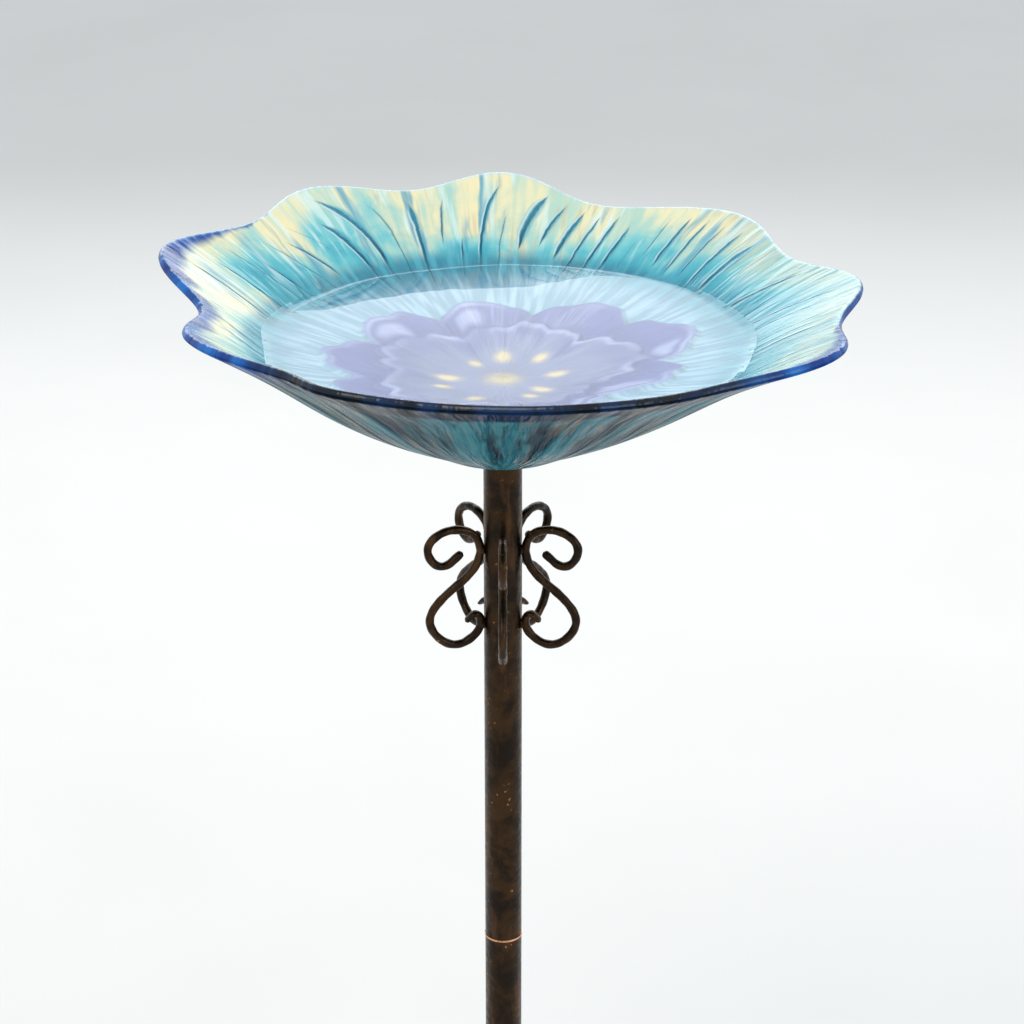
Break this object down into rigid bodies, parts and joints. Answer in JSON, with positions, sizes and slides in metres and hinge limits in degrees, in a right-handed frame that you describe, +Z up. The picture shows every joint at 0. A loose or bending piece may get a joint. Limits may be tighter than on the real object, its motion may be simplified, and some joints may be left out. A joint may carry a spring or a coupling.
{
  "type": "garden bird bath",
  "caption": "Lobed painted glass bowl screwed onto a slim bronze tube pole with wire scrolls and a pronged ground fork.",
  "frame": {"origin": "pole axis at ground level, on the underside of the fork's step bar", "axes": "+Z up along the pole, -Y towards the viewer, +X to the viewer's right"},
  "size_m": [0.3938, 0.3971, 0.9048],
  "materials": {
    "bowl_glass": "hand-painted cast glass, glossy, cream to turquoise with a cobalt edge",
    "bond": "translucent silicone bond",
    "bronze_paint": "dark bronze powder coat, satin, rubbed through to copper in places",
    "zinc_steel": "zinc-plated steel",
    "rubber": "black rubber, matte",
    "copper_trim": "bare copper-coloured edge, worn",
    "black_plastic": "moulded black plastic"
  },
  "bodies": {
    "lower_pole": {"lower_tube": "bronze_paint", "lower_top_plug": "zinc_steel", "coupling_stud": "zinc_steel", "tube_end_cap": "black_plastic", "fork_socket": "bronze_paint", "set_screw": "zinc_steel", "step_bar": "bronze_paint", "centre_spike": "bronze_paint"},
    "joint_ring": {"joint_ring": "copper_trim"},
    "upper_pole": {"upper_tube": "bronze_paint", "top_plug": "zinc_steel", "upper_end_plug": "zinc_steel", "scroll_1": "bronze_paint", "scroll_2": "bronze_paint", "scroll_3": "bronze_paint", "scroll_4": "bronze_paint", "scroll_5": "bronze_paint"},
    "washer": {"rubber_washer": "rubber"},
    "bowl": {"glass_bowl": "bowl_glass", "bond_disc": "bond", "flange_plate": "bronze_paint", "flange_stud": "zinc_steel"}
  },
  "joints": [
    {"name": "section_rise", "type": "slide", "parent": "lower_pole", "child": "joint_ring", "axis": [0, 0, 1], "range_m": [0, 0.0105]},
    {"name": "section_turn", "type": "hinge", "parent": "joint_ring", "child": "upper_pole", "pos_m": [0, 0, 0.3192], "axis": [0, 0, 1], "range_deg": [0, 2520]},
    {"name": "bowl_rise", "type": "slide", "parent": "upper_pole", "child": "washer", "axis": [0, 0, 1], "range_m": [0, 0.0105]},
    {"name": "bowl_turn", "type": "hinge", "parent": "washer", "child": "bowl", "pos_m": [0, 0, 0.6322], "axis": [0, 0, 1], "range_deg": [0, 2520]}
  ],
  "couplings": [
    {"joint": "section_rise", "follows": "section_turn", "m_per_rad": 0.00023873},
    {"joint": "bowl_rise", "follows": "bowl_turn", "m_per_rad": 0.00023873}
  ]
}
